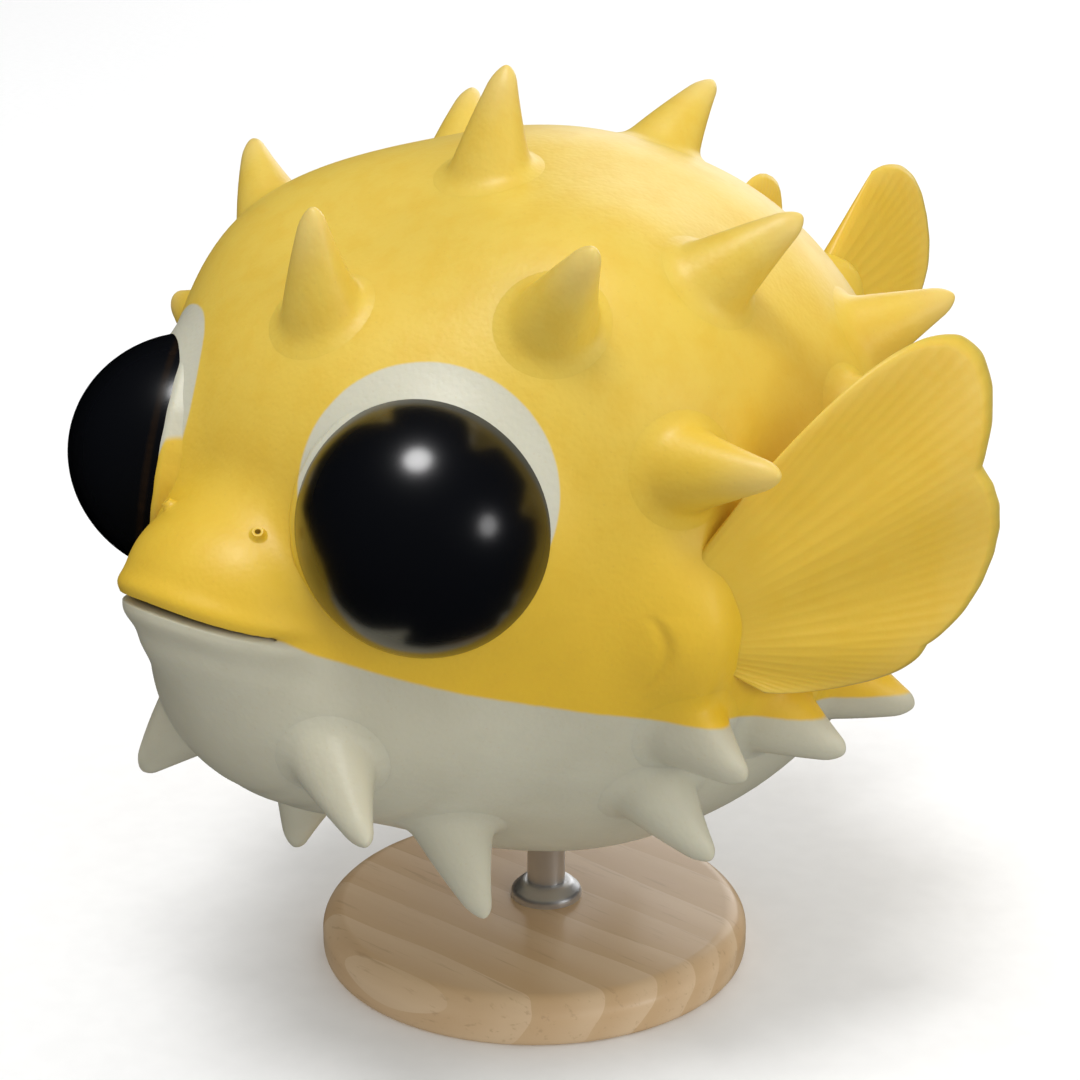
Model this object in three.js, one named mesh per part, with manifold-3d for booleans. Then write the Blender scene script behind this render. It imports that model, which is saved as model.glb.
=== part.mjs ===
// A puffed-up young burrfish, a spiny pufferfish, life size, held over a plain display stand.
// Millimetres, +Z up. The fish faces -Y, its left side is +X, and the origin is the middle of the
// stand's underside. Shapes of the fish are given in ball radii about the middle of its body.
import * as THREE from "three";
import { mergeVertices } from "three/addons/utils/BufferGeometryUtils.js";
import Module from "manifold-3d";

const wasm = await Module();
wasm.setup();

// Driving dimensions.
const BALL_RADIUS = 45; // of the puffed-up body
const GAP = 0.3; // between neighbouring pieces
const BODY_RINGS = 30;
const BODY_AROUND = 28;
const STAND = {
  baseRadius: 28,
  baseHeight: 6,
  bevel: 1.2,
  sides: 48,
  rodRadius: 2.5,
  rodSides: 16,
  rodInBase: 4,
  rodInBelly: 6,
  bellyClearance: 11, // from the base's top to the lowest point of the belly
};
const BELLY_DEPTH = 1.02 * BALL_RADIUS;
const BODY_HEIGHT = STAND.baseHeight + STAND.bellyClearance + BELLY_DEPTH;
const ROD_Y = 0.05 * BALL_RADIUS;

// The body is one smooth union of ellipsoids: centre, radii, the width of the fillet to the rest and,
// where the piece slopes, its pitch in degrees, nose down. A piece with x above 0 is on both sides.
const BLOBS = [
  { centre: [0, 0.04, -0.01], radii: [1.02, 1.02, 1.0], fillet: 0 }, // puffed-up trunk
  { centre: [0, -0.655, 0.13], radii: [0.7, 0.415, 0.58], fillet: 0.12 }, // head
  { centre: [0, -1.054, -0.02], radii: [0.3, 0.276, 0.234], fillet: 0.105 }, // snout
  { centre: [0, -0.663, -0.31], radii: [0.536, 0.532, 0.385], fillet: 0.2 }, // throat
  { centre: [0.42, -0.3, 0.42], radii: [0.42, 0.42, 0.42], fillet: 0.22 }, // brows
  { centre: [0.37, -0.72, 0.16], radii: [0.355, 0.355, 0.355], fillet: 0.08 }, // eye bulges
  { centre: [0, 0.92, 0.17], radii: [0.13, 0.56, 0.2], fillet: 0.34, pitch: 20 }, // tail stalk
  { centre: [0, 1.3, 0.31], radii: [0.075, 0.13, 0.15], fillet: 0.1, pitch: 20 }, // end of the tail stalk
  { centre: [0, 0.88, 0.48], radii: [0.08, 0.2, 0.18], fillet: 0.14 }, // foot of the dorsal fin
  { centre: [0, 0.92, -0.34], radii: [0.08, 0.2, 0.18], fillet: 0.14 }, // foot of the anal fin
  { centre: [0.86, -0.39, -0.09], radii: [0.14, 0.1, 0.18], fillet: 0.12 }, // foot of the pectoral fin
];
// Rays to the surface start on this line through the fish and fan out from the snout to the tail.
const RAY_LINE = { front: [0, -0.78, 0.0], back: [0, 1.2, 0.27] };
const FARTHEST_SURFACE = 2.5;

const EYE = {
  centre: [0.44, -0.83, 0.185],
  radius: 0.32,
  facing: [0.72, -0.66, 0.18],
  opening: 0.965, // radius of the lids' opening, as a share of the eye's own radius
  lidThickness: 0.09,
};
// The lips are shut, with a shallow slot between them that hides the beak.
const MOUTH = {
  centre: [0, -1.26, -0.012],
  slotRadii: [0.26, 0.12, 0.022],
};

const SPINES = {
  footRadius: 0.12,
  sides: 6,
  backwardLean: 0.4,
  hook: 0.12, // how far the tip bends back, as a share of the height
  clearOfEye: 0.42,
  clearOfFin: 0.1,
  clearOfRod: 0.2,
};
// The spines stand in uneven rows along the fish and are shorter on the belly. A row's turn to either
// side is in degrees from the middle of the back, and the spines on its left and right are in degrees
// from straight ahead.
const SPINE_ROWS = [
  { turn: 4, height: 0.25, left: [116], right: [] },
  { turn: 7, height: 0.25, left: [38, 73], right: [] },
  { turn: 32, height: 0.25, left: [], right: [103] },
  { turn: 43, height: 0.25, left: [57], right: [] },
  { turn: 46, height: 0.25, left: [81], right: [74] },
  { turn: 58, height: 0.25, left: [114], right: [122] },
  { turn: 66, height: 0.2, left: [], right: [67] },
  { turn: 70, height: 0.25, left: [66, 101, 140], right: [101, 140] },
  { turn: 98, height: 0.25, left: [131], right: [131] },
  { turn: 113, height: 0.18, left: [69, 85, 102], right: [64, 84, 102] },
  { turn: 128, height: 0.21, left: [70], right: [71, 118] },
  { turn: 140, height: 0.24, left: [26], right: [] },
  { turn: 145, height: 0.24, left: [], right: [32] },
  { turn: 154, height: 0.24, left: [49], right: [] },
  { turn: 160, height: 0.2, left: [128], right: [128] },
  { turn: 161, height: 0.24, left: [], right: [51] },
];

// Each cut parts the body along a line in its side view, from one [y, z] to the next.
const CUTS = {
  mouthAndBorder: [
    [-1.9, 0], [-1.33, -0.003], [-1.185, -0.059], [-0.9, -0.19], [-0.5, -0.29], [0.3, -0.39], [1.12, -0.44],
  ],
  gills: [[-0.3, -0.315], [-0.3, 1.5]],
  throat: [[-0.95, -0.156], [-0.95, -1.5]],
  tail: [[1.12, -1.5], [1.12, 1.5]],
};
// A point in the side view of each piece that those cuts leave.
const FLESH = {
  head: [-0.8, 0.35],
  lower_jaw: [-1.12, -0.15],
  back: [0.25, 0.35],
  belly: [0.0, -0.7],
  tail_stalk: [1.3, 0.31],
};

// Each fin is a fan of rays on a foot line, given with the way its middle ray runs and the way across
// the rays. The spread is the slope of its first and last ray, in degrees from the middle one, and
// length gives each ray's length, with q from 0 at the first ray to 1 at the last. The edge is drawn
// in between its lobes by lobeDepth, and lobeWidening under 1 makes the later lobes wider.
const rounded = (q, power) => 1 - Math.abs(2 * q - 1) ** power;
const PECTORAL = {
  foot: [0.895, -0.387, -0.08],
  along: [0.52, 0.68, 0.48],
  across: [-0.12, -0.38, 0.91],
  footWidth: 0.24,
  spread: [-62, 26],
  length: (q) => (0.58 + 0.5 * q) * (0.3 + 0.7 * rounded(q ** 1.3, 4)),
  lobes: 3,
  lobeWidening: 0.9,
  lobeDepth: 0.1,
  cup: 0.1,
};
const DORSAL = {
  foot: [0, 0.88, 0.5],
  along: [0, 0.42, 0.91],
  across: [0, -0.91, 0.42],
  footWidth: 0.22,
  spread: [-14, 6],
  length: (q) => 0.13 + 0.16 * rounded(q, 2.4) - 0.02 * q,
  lobes: 1,
  lobeWidening: 1,
  lobeDepth: 0,
  cup: 0,
};
const ANAL = {
  foot: [0, 0.96, -0.36],
  along: [0, 0.62, -0.78],
  across: [0, -0.78, -0.62],
  footWidth: 0.22,
  spread: [-20, 8],
  length: (q) => 0.18 + 0.2 * rounded(q, 2.4) - 0.03 * q,
  lobes: 1,
  lobeWidening: 1,
  lobeDepth: 0,
  cup: 0,
};
const CAUDAL = {
  foot: [0, 1.34, 0.33],
  along: [0, 0.94, 0.34],
  across: [0, -0.34, 0.94],
  footWidth: 0.26,
  spread: [-26, 26],
  length: (q) => 0.34 + 0.2 * rounded(q, 2.6),
  lobes: 1,
  lobeWidening: 1,
  lobeDepth: 0,
  cup: 0,
};
const FIN = {
  rootThickness: 0.07,
  edgeThickness: 0.018,
  buried: 0.12, // how far the fin starts below its foot, before it is trimmed to the body
  acrossSteps: 12,
  alongSteps: 3,
};

const YELLOW = { color: 0xe0b43c, roughness: 0.42, metalness: 0 };
const CREAM = { color: 0xe4dfcc, roughness: 0.45, metalness: 0 };
const FIN_YELLOW = { color: 0xdaa93a, roughness: 0.45, metalness: 0 };
const EYE_BLACK = { color: 0x0c0d10, roughness: 0.12, metalness: 0 };
const PALE_WOOD = { color: 0xd8bf97, roughness: 0.5, metalness: 0 };
const STEEL = { color: 0xb9bcc0, roughness: 0.28, metalness: 1 };

const vector = (xyz) => new THREE.Vector3(...xyz);
const mirrored = ([x, y, z]) => [-x, y, z];
const toMillimetres = new THREE.Matrix4()
  .makeTranslation(0, 0, BODY_HEIGHT)
  .scale(new THREE.Vector3(BALL_RADIUS, BALL_RADIUS, BALL_RADIUS));
const gapInRadii = GAP / BALL_RADIUS;

// About the distance from a point to an ellipsoid's surface, less than 0 inside.
function ellipsoidDistance(point, centre, radii, pitch = 0) {
  const [sideways, forward, up] = point.map((value, axis) => value - centre[axis]);
  const [cos, sin] = [Math.cos(pitch), Math.sin(pitch)];
  const from = [sideways, forward * cos + up * sin, up * cos - forward * sin];
  const once = Math.hypot(...from.map((value, axis) => value / radii[axis]));
  const twice = Math.hypot(...from.map((value, axis) => value / radii[axis] ** 2));
  return twice < 1e-9 ? -Math.min(...radii) : (once * (once - 1)) / twice;
}

// The smaller of two distances, rounded where they are nearly equal.
function smoothMinimum(a, b, width) {
  if (width === 0) return Math.min(a, b);
  const near = Math.max(width - Math.abs(a - b), 0) / width;
  return Math.min(a, b) - (near * near * width) / 4;
}

function bodyDistance(point) {
  let distance = Infinity;
  for (const { centre, radii, fillet, pitch = 0 } of BLOBS) {
    const slope = THREE.MathUtils.degToRad(pitch);
    const sides = centre[0] > 0 ? [centre, mirrored(centre)] : [centre];
    for (const side of sides) {
      distance = smoothMinimum(distance, ellipsoidDistance(point, side, radii, slope), fillet);
    }
  }
  return distance;
}

// The point where a ray leaves the body, grown outwards by a margin.
function surfacePoint(start, direction, margin = 0) {
  const at = (length) => start.map((value, axis) => value + length * direction[axis]);
  let inside = 0;
  let outside = FARTHEST_SURFACE;
  for (let halving = 0; halving < 40; halving += 1) {
    const middle = (inside + outside) / 2;
    if (bodyDistance(at(middle)) < margin) inside = middle;
    else outside = middle;
  }
  return at(inside);
}

// The way the surface faces at a point on it.
function surfaceNormal(point) {
  const step = 1e-3;
  const slope = [0, 1, 2].map((axis) => {
    const ahead = point.map((value, i) => value + (i === axis ? step : 0));
    const behind = point.map((value, i) => value - (i === axis ? step : 0));
    return bodyDistance(ahead) - bodyDistance(behind);
  });
  return vector(slope).normalize();
}

// Moves every vertex of a geometry with a function of its position.
function reshaped(geometry, move) {
  const position = geometry.getAttribute("position");
  for (let i = 0; i < position.count; i += 1) {
    const moved = move([position.getX(i), position.getY(i), position.getZ(i)]);
    position.setXYZ(i, ...moved);
  }
  return geometry;
}

// A closed three.js geometry as a solid that can be cut and joined.
function solid(geometry) {
  const bare = geometry.clone();
  bare.deleteAttribute("normal");
  bare.deleteAttribute("uv");
  const merged = mergeVertices(bare, 1e-4);
  const made = new wasm.Manifold(
    new wasm.Mesh({
      numProp: 3,
      vertProperties: new Float32Array(merged.getAttribute("position").array),
      triVerts: new Uint32Array(merged.index.array),
    }),
  );
  if (made.volume() <= 0) throw new Error("a shape is inside out");
  return made;
}

// A solid as a named mesh with its own material.
function meshOf(name, made, finish) {
  const { vertProperties, triVerts } = made.getMesh();
  const geometry = new THREE.BufferGeometry();
  geometry.setAttribute("position", new THREE.BufferAttribute(vertProperties, 3));
  geometry.setIndex(new THREE.BufferAttribute(triVerts, 1));
  const mesh = new THREE.Mesh(geometry, new THREE.MeshStandardMaterial(finish));
  mesh.name = name;
  return mesh;
}

// The body without spines, as wide as bodyDistance says or wider by a margin in millimetres.
function bodySolid(margin = 0) {
  const geometry = reshaped(new THREE.SphereGeometry(1, BODY_AROUND, BODY_RINGS), (direction) => {
    const share = Math.acos(THREE.MathUtils.clamp(-direction[1], -1, 1)) / Math.PI;
    const start = vector(RAY_LINE.front).lerp(vector(RAY_LINE.back), share).toArray();
    return surfacePoint(start, direction, margin / BALL_RADIUS);
  });
  return solid(geometry.applyMatrix4(toMillimetres));
}

// A sphere or ellipsoid, given in ball radii, with a margin in millimetres.
function ellipsoidSolid(centre, radii, margin = 0, around = 20, rings = 10) {
  const grown = radii.map((radius) => radius + margin / BALL_RADIUS);
  const geometry = new THREE.SphereGeometry(1, around, rings)
    .scale(...grown)
    .translate(...centre)
    .applyMatrix4(toMillimetres);
  return solid(geometry);
}

// An upright cylinder in millimetres.
function uprightCylinder(radius, bottom, top, y, sides) {
  const geometry = new THREE.CylinderGeometry(radius, radius, top - bottom, sides)
    .rotateX(Math.PI / 2)
    .translate(0, y, (top + bottom) / 2);
  return solid(geometry);
}

// The middle of every spine's foot on the body and the spine's height, without those in the way of
// eyes, fins and rod.
function spinePlaces() {
  const places = SPINE_ROWS.flatMap(({ turn, height, left, right }) =>
    [...left.map((ahead) => [ahead, turn]), ...right.map((ahead) => [ahead, -turn])].map(([ahead, side]) => {
      const fromAhead = THREE.MathUtils.degToRad(ahead);
      const round = THREE.MathUtils.degToRad(side);
      const direction = [
        Math.sin(fromAhead) * Math.sin(round),
        -Math.cos(fromAhead),
        Math.sin(fromAhead) * Math.cos(round),
      ];
      return { foot: surfacePoint([0, 0, 0], direction), height };
    }),
  );
  const rodTop = vector([0, ROD_Y / BALL_RADIUS, -1]);
  const finPlaces = [PECTORAL, DORSAL, ANAL, CAUDAL].flatMap((fin) =>
    [0, 0.25, 0.5, 0.75, 1].flatMap((q) => [0.05, 0.3, 0.55].map((t) => finPoint(fin, q, t, 0))),
  );
  return places.filter(({ foot, height }) => {
    const side = vector([Math.abs(foot[0]), foot[1], foot[2]]);
    const tip = side.clone().addScaledVector(surfaceNormal(side.toArray()), height);
    const clearOf = (place) => Math.min(place.distanceTo(side), place.distanceTo(tip));
    return (
      side.distanceTo(vector(EYE.centre)) > SPINES.clearOfEye &&
      side.distanceTo(rodTop) > SPINES.clearOfRod &&
      finPlaces.every((place) => clearOf(place) > SPINES.clearOfFin)
    );
  });
}

// One spine: a cone with a flared foot, hooked a little backwards, standing on the body.
function spineSolid({ foot, height }) {
  const { footRadius, hook } = SPINES;
  const profile = [
    [0, -0.3 * height],
    [footRadius * 1.05, -0.2 * height],
    [footRadius * 0.52, 0.4 * height],
    [0, height],
  ].map(([radius, up]) => new THREE.Vector2(radius, up));
  const geometry = new THREE.LatheGeometry(profile, SPINES.sides);
  const outward = surfaceNormal(foot);
  const backward = new THREE.Vector3(0, 1, 0).addScaledVector(outward, -outward.y).normalize();
  const lean = outward.clone().addScaledVector(backward, SPINES.backwardLean).normalize();
  const rise = lean.clone().multiplyScalar(1 / lean.dot(outward));
  const side = new THREE.Vector3().crossVectors(outward, backward);
  reshaped(geometry, ([x, y, z]) => {
    const bend = hook * height * Math.max(0, y / height) ** 2;
    return vector(foot)
      .addScaledVector(side, x)
      .addScaledVector(rise, y * 0.9)
      .addScaledVector(backward, z + bend)
      .toArray();
  });
  return solid(geometry.applyMatrix4(toMillimetres));
}

// A thin plate right across the fish along one stretch of a cut line.
function cutPlate([fromY, fromZ], [toY, toZ]) {
  const length = Math.hypot(toY - fromY, toZ - fromZ);
  const overlap = 0.02; // so that plates that follow each other leave no bridge
  const geometry = new THREE.BoxGeometry(4, length + overlap, gapInRadii)
    .rotateX(Math.atan2(toZ - fromZ, toY - fromY))
    .translate(0, (fromY + toY) / 2, (fromZ + toZ) / 2)
    .applyMatrix4(toMillimetres);
  return solid(geometry);
}

// A geometry made along +Y, put on one eye's middle and turned to face as the eye does.
function onEyeAxis(geometry, side) {
  const facing = vector([side * EYE.facing[0], EYE.facing[1], EYE.facing[2]]).normalize();
  const turned = new THREE.Quaternion().setFromUnitVectors(new THREE.Vector3(0, 1, 0), facing);
  return solid(
    geometry
      .applyQuaternion(turned)
      .translate(side * EYE.centre[0], EYE.centre[1], EYE.centre[2])
      .applyMatrix4(toMillimetres),
  );
}

// The fleshy ring of the lids round an eye.
function lidSolid(side) {
  const radius = EYE.radius * EYE.opening;
  const height = Math.sqrt(EYE.radius ** 2 - radius ** 2);
  const ring = new THREE.TorusGeometry(radius, EYE.lidThickness / 2, 6, 20);
  return onEyeAxis(ring.rotateX(Math.PI / 2).translate(0, height - 0.02, 0), side);
}

// The fish's flesh in its named pieces, with sockets for the eyes and the rod cut out.
function fleshPieces() {
  const lids = [1, -1].map(lidSolid);
  let flesh = wasm.Manifold.union([bodySolid(), ...lids, ...spinePlaces().map(spineSolid)]);
  const cutters = [];
  for (const line of Object.values(CUTS)) {
    line.slice(1).forEach((end, i) => cutters.push(cutPlate(line[i], end)));
  }
  for (const side of [1, -1]) {
    const socket = Array(3).fill(EYE.radius);
    cutters.push(ellipsoidSolid([side * EYE.centre[0], EYE.centre[1], EYE.centre[2]], socket, GAP));
    const opening = EYE.radius * EYE.opening;
    cutters.push(onEyeAxis(new THREE.CylinderGeometry(opening, opening, 1, 24).translate(0, 0.5, 0), side));
  }
  cutters.push(ellipsoidSolid(MOUTH.centre, MOUTH.slotRadii));
  const socketTop = BODY_HEIGHT - BELLY_DEPTH + STAND.rodInBelly + GAP;
  cutters.push(uprightCylinder(STAND.rodRadius + GAP, 0, socketTop, ROD_Y, STAND.rodSides));
  flesh = flesh.subtract(wasm.Manifold.union(cutters));

  const bodies = flesh.decompose();
  return Object.fromEntries(
    Object.entries(FLESH).map(([name, [y, z]]) => {
      const probe = ellipsoidSolid([0, y, z], [0.02, 0.02, 0.02], 0, 6, 4);
      const piece = bodies.find((body) => body.intersect(probe).volume() > 0);
      if (!piece) throw new Error(`no flesh is found for ${name}`);
      return [name, piece];
    }),
  );
}

// A point of a fin. q runs from 0 to 1 over its rays, t from 0 at the foot to 1 at the edge, and
// side is -1 or 1 for its two faces.
function finPoint(fin, q, t, side) {
  const along = vector(fin.along).normalize();
  const across = vector(fin.across).addScaledVector(along, -along.dot(vector(fin.across))).normalize();
  const facing = new THREE.Vector3().crossVectors(across, along);
  const angle = THREE.MathUtils.degToRad(THREE.MathUtils.lerp(...fin.spread, q));
  const crest = Math.abs(Math.sin(Math.PI * fin.lobes * q ** fin.lobeWidening));
  const lobe = 1 - fin.lobeDepth * (1 - crest);
  const reach = t * (fin.length(q) * lobe + FIN.buried) - FIN.buried;
  const corner = Math.sqrt(Math.max(0, 1 - (2 * q - 1) ** 8));
  const { rootThickness, edgeThickness } = FIN;
  const thickness = THREE.MathUtils.lerp(rootThickness, edgeThickness, t ** 0.7) * (0.4 + 0.6 * corner);
  return vector(fin.foot)
    .addScaledVector(across, (q - 0.5) * fin.footWidth + reach * Math.sin(angle))
    .addScaledVector(along, reach * Math.cos(angle))
    .addScaledVector(facing, fin.cup * reach * reach + (side * thickness) / 2);
}

// A closed fin: a thin box whose corners and edges follow finPoint, trimmed to stand on the body.
function finSolid(fin, trim, transform = new THREE.Matrix4()) {
  const geometry = new THREE.BoxGeometry(1, 1, 1, FIN.acrossSteps, FIN.alongSteps, 1);
  reshaped(geometry, ([x, y, z]) => finPoint(fin, x + 0.5, y + 0.5, 2 * z).toArray());
  const whole = solid(geometry.applyMatrix4(toMillimetres)).transform(transform.toArray());
  const pieces = whole.subtract(trim).decompose();
  return pieces.reduce((largest, piece) => (piece.volume() > largest.volume() ? piece : largest));
}

function baseSolid() {
  const { baseRadius, baseHeight, bevel, sides, rodRadius, rodInBase, rodSides } = STAND;
  const profile = [
    [0, 0],
    [baseRadius, 0],
    [baseRadius, baseHeight - bevel],
    [baseRadius - bevel, baseHeight],
    [0, baseHeight],
  ].map(([radius, up]) => new THREE.Vector2(radius, up));
  const disc = solid(new THREE.LatheGeometry(profile, sides).rotateX(Math.PI / 2));
  const hole = uprightCylinder(rodRadius + GAP, baseHeight - rodInBase, baseHeight + 1, ROD_Y, rodSides);
  return disc.subtract(hole);
}

function rodSolid() {
  const bottom = STAND.baseHeight - STAND.rodInBase + GAP;
  const top = BODY_HEIGHT - BELLY_DEPTH + STAND.rodInBelly;
  return uprightCylinder(STAND.rodRadius, bottom, top, ROD_Y, STAND.rodSides);
}

const group = new THREE.Group();
const flesh = fleshPieces();
group.add(meshOf("head", flesh.head, YELLOW));
group.add(meshOf("lower_jaw", flesh.lower_jaw, CREAM));
group.add(meshOf("back", flesh.back, YELLOW));
group.add(meshOf("belly", flesh.belly, CREAM));
group.add(meshOf("tail_stalk", flesh.tail_stalk, YELLOW));

const trim = bodySolid(GAP);
const otherSide = new THREE.Matrix4().makeScale(-1, 1, 1);
group.add(meshOf("pectoral_fin_left", finSolid(PECTORAL, trim), FIN_YELLOW));
group.add(meshOf("pectoral_fin_right", finSolid(PECTORAL, trim, otherSide), FIN_YELLOW));
group.add(meshOf("dorsal_fin", finSolid(DORSAL, trim), FIN_YELLOW));
group.add(meshOf("anal_fin", finSolid(ANAL, trim), FIN_YELLOW));
group.add(meshOf("tail_fin", finSolid(CAUDAL, trim), FIN_YELLOW));

const eye = ellipsoidSolid(EYE.centre, Array(3).fill(EYE.radius));
group.add(meshOf("eye_left", eye, EYE_BLACK));
group.add(meshOf("eye_right", eye.transform(otherSide.toArray()), EYE_BLACK));
group.add(meshOf("stand_base", baseSolid(), PALE_WOOD));
group.add(meshOf("stand_rod", rodSolid(), STEEL));

export default group;
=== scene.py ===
"""A puffed-up young burrfish on a plain display stand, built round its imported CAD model.

Lengths of the fish are in ball radii about the middle of its body unless a name says metres.
The fish faces -Y, its left side is +X and +Z is up.
"""

import math

import bpy
import numpy as np
from bpy.props import FloatProperty, FloatVectorProperty, IntProperty, PointerProperty
from mathutils import Matrix, Vector


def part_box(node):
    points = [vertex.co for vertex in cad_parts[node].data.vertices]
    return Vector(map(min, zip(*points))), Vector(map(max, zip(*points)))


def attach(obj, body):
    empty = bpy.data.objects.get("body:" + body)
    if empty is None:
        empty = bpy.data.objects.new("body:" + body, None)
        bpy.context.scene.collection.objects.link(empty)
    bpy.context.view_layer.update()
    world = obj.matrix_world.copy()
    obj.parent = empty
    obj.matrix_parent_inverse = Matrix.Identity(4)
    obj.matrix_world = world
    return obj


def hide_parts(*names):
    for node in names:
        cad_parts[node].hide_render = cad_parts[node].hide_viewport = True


bl_info = {
    "name": "Burrfish on a stand",
    "version": (1, 0, 0),
    "blender": (4, 5, 0),
    "location": "3D View > Sidebar > Burrfish",
    "description": "Builds a puffed-up burrfish, its display stand and a plain stage",
    "category": "Add Mesh",
}

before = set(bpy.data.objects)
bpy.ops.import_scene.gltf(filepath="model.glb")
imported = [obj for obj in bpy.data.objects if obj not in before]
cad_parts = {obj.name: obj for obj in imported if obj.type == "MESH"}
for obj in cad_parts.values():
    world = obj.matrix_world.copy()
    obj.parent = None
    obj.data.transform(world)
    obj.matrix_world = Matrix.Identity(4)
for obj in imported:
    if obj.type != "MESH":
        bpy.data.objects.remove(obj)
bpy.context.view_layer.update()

# ------------------------------------------------------------------------------------------------
# Sizes that are the same as the CAD model's.

EYE_CENTRE = np.array([0.44, -0.83, 0.185])
EYE_RADIUS = 0.32
EYE_FACING = np.array([0.72, -0.66, 0.18])
EYE_FACING = EYE_FACING / np.linalg.norm(EYE_FACING)

_low, _high = (np.array(corner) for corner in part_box("eye_left"))
BALL = float((_high[0] - _low[0]) / 2 / EYE_RADIUS)  # metres in one ball radius
MIDDLE = np.array([0.0, 0.0, (_low[2] + _high[2]) / 2 - EYE_CENTRE[2] * BALL])  # in metres

# centre, radii, fillet to the rest, pitch in degrees; x above 0 is on both sides
BLOBS = (
    ((0, 0.04, -0.01), (1.02, 1.02, 1.0), 0, 0),  # trunk
    ((0, -0.655, 0.13), (0.7, 0.415, 0.58), 0.12, 0),  # head
    ((0, -1.054, -0.02), (0.3, 0.276, 0.234), 0.105, 0),  # snout
    ((0, -0.663, -0.31), (0.536, 0.532, 0.385), 0.2, 0),  # throat
    ((0.42, -0.3, 0.42), (0.42, 0.42, 0.42), 0.22, 0),  # brows
    ((0.37, -0.72, 0.16), (0.355, 0.355, 0.355), 0.08, 0),  # eye bulges
    ((0, 0.92, 0.17), (0.13, 0.56, 0.2), 0.34, 20),  # tail stalk
    ((0, 1.3, 0.31), (0.075, 0.13, 0.15), 0.1, 20),  # end of the tail stalk
    ((0, 0.88, 0.48), (0.08, 0.2, 0.18), 0.14, 0),  # foot of the dorsal fin
    ((0, 0.92, -0.34), (0.08, 0.2, 0.18), 0.14, 0),  # foot of the anal fin
    ((0.86, -0.39, -0.09), (0.14, 0.1, 0.18), 0.12, 0),  # foot of the pectoral fin
)
RAY_FRONT = np.array([0, -0.78, -0.004])
RAY_BACK = np.array([0, 1.2, 0.27])
FARTHEST_SURFACE = 2.5

# turn to either side from the middle of the back, height, and the left and right side's spines on
# that row; angles in degrees, a spine's own from straight ahead
SPINE_ROWS = (
    (4, 0.25, (116,), ()),
    (7, 0.25, (38, 73), ()),
    (32, 0.25, (), (103,)),
    (43, 0.25, (57,), ()),
    (46, 0.25, (81,), (74,)),
    (58, 0.25, (114,), (122,)),
    (66, 0.2, (), (67,)),
    (70, 0.25, (66, 101, 140), (101, 140)),
    (98, 0.25, (131,), (131,)),
    (113, 0.18, (69, 85, 102), (64, 84, 102)),
    (128, 0.21, (70,), (71, 118)),
    (140, 0.24, (26,), ()),
    (145, 0.24, (), (32,)),
    (154, 0.24, (49,), ()),
    (160, 0.2, (128,), (128,)),
    (161, 0.24, (), (51,)),
)
CLEAR_OF_EYE = 0.42
CLEAR_OF_FIN = 0.1
CLEAR_OF_ROD = 0.2
ROD_PLACE = np.array([0, 0.05, -1.0])


def rounded(q, power):
    return 1 - np.abs(2 * q - 1) ** power


PLAIN_SHEET = dict(lobes=1, widening=1, lobe_depth=0, cup=0)
FINS = {
    "pectoral": dict(
        foot=(0.895, -0.387, -0.08), along=(0.52, 0.68, 0.48), across=(-0.12, -0.38, 0.91),
        foot_width=0.24, spread=(-62, 26), lobes=3, widening=0.9, lobe_depth=0.1, cup=0.1, rays=21,
        length=lambda q: (0.58 + 0.5 * q) * (0.3 + 0.7 * rounded(q**1.3, 4)),
    ),
    "dorsal": dict(
        foot=(0, 0.88, 0.5), along=(0, 0.42, 0.91), across=(0, -0.91, 0.42),
        foot_width=0.22, spread=(-14, 6), rays=10, **PLAIN_SHEET,
        length=lambda q: 0.13 + 0.16 * rounded(q, 2.4) - 0.02 * q,
    ),
    "anal": dict(
        foot=(0, 0.96, -0.36), along=(0, 0.62, -0.78), across=(0, -0.78, -0.62),
        foot_width=0.22, spread=(-20, 8), rays=11, **PLAIN_SHEET,
        length=lambda q: 0.18 + 0.2 * rounded(q, 2.4) - 0.03 * q,
    ),
    "tail": dict(
        foot=(0, 1.34, 0.33), along=(0, 0.94, 0.34), across=(0, -0.34, 0.94),
        foot_width=0.26, spread=(-26, 26), rays=9, **PLAIN_SHEET,
        length=lambda q: 0.34 + 0.2 * rounded(q, 2.6),
    ),
}
FIN_ROOT_THICKNESS = 0.09
FIN_EDGE_THICKNESS = 0.035
FIN_BURIED = 0.12

MOUTH_HEIGHT = -0.004
MOUTH_DROOP = 0.78
MOUTH_HALF_WIDTH = 0.275

# ------------------------------------------------------------------------------------------------
# Sizes of the details and of the stage.

LID_INNER, LID_OUTER = 78, 112  # degrees from the way the eye faces
CORNEA_HEIGHT, CORNEA_WIDTH = 0.035, 0.75  # a share of the eye's radius, and radians
PATCH_RISE, PATCH_RADIUS, PATCH_BLUR = 0.086, 0.309, 0.007  # the cream ring over the eye

# The border of yellow and cream: its height far behind, how much higher it is where the mouth
# ends, where along the fish that is, and the length over which the difference fades.
BORDER_LOW, BORDER_DROP, BORDER_START, BORDER_FADE = -0.46, 0.401, -1.185, 0.72

WELD_DISTANCE = 2e-7  # metres

SPINE_TALLEST = 0.25
SPINE_TAPER = 0.78  # share of the radius that is lost by the tip
SPINE_TIP_START = 0.84  # share of the height where the tip starts to round off
SPINE_BRIM, SPINE_BRIM_HEIGHT = 0.32, 0.035  # shares of the radius and of the height

VIEW_AZIMUTH, VIEW_ELEVATION = 43.4, 16.3  # degrees
CAMERA_DISTANCE = 6.505
CAMERA_ASIDE, CAMERA_RISE = 0.021, 0.073  # to the right of the line of sight, and up
AIM_ASIDE, AIM_RISE = 0.016, -0.144
CAMERA_LENS, SENSOR_WIDTH = 78.07, 36  # millimetres

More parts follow.
